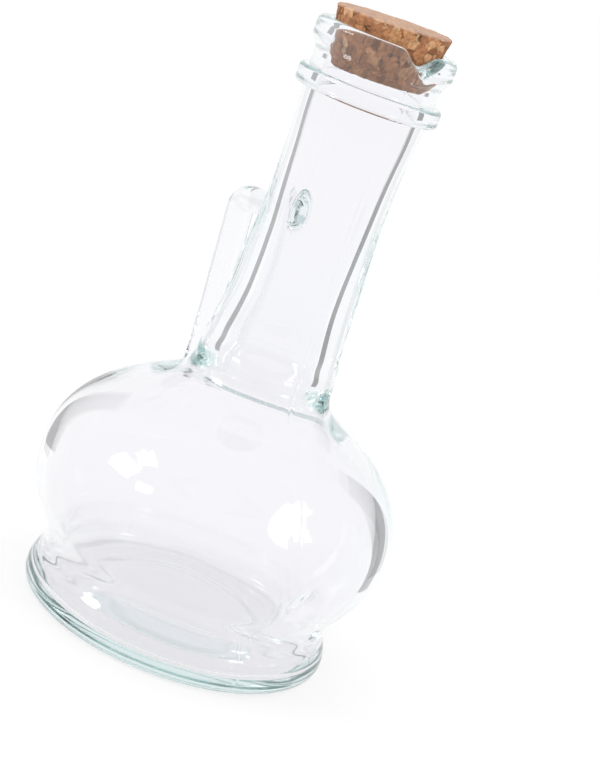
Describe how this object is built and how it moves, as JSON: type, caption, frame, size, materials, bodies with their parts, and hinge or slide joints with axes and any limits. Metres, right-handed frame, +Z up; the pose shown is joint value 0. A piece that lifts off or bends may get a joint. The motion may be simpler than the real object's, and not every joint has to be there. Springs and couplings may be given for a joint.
{
  "type": "oil bottle",
  "caption": "Clear glass oil bottle with a wide belly, long neck, pressed pouring notch, loop handle and a tapered cork that lifts out.",
  "frame": {"origin": "on the bottle's axis, in the plane of the standing ring", "axes": "+Z up the bottle's axis, -Y to the front with the pouring notch, +Y to the handle"},
  "size_m": [0.1028, 0.1026, 0.1806],
  "materials": {
    "clear_glass": "smooth pressed glass, clear with a faint blue-green cast",
    "pressed_cork": "dry pressed cork granules, tan with darker specks"
  },
  "bodies": {
    "bottle": {"glass_bottle": "clear_glass", "handle": "clear_glass"},
    "cork": {"cork_stopper": "pressed_cork"}
  },
  "joints": [
    {"name": "cork_pull", "type": "slide", "parent": "bottle", "child": "cork", "axis": [0, 0, 1], "range_m": [0, 0.06]}
  ]
}
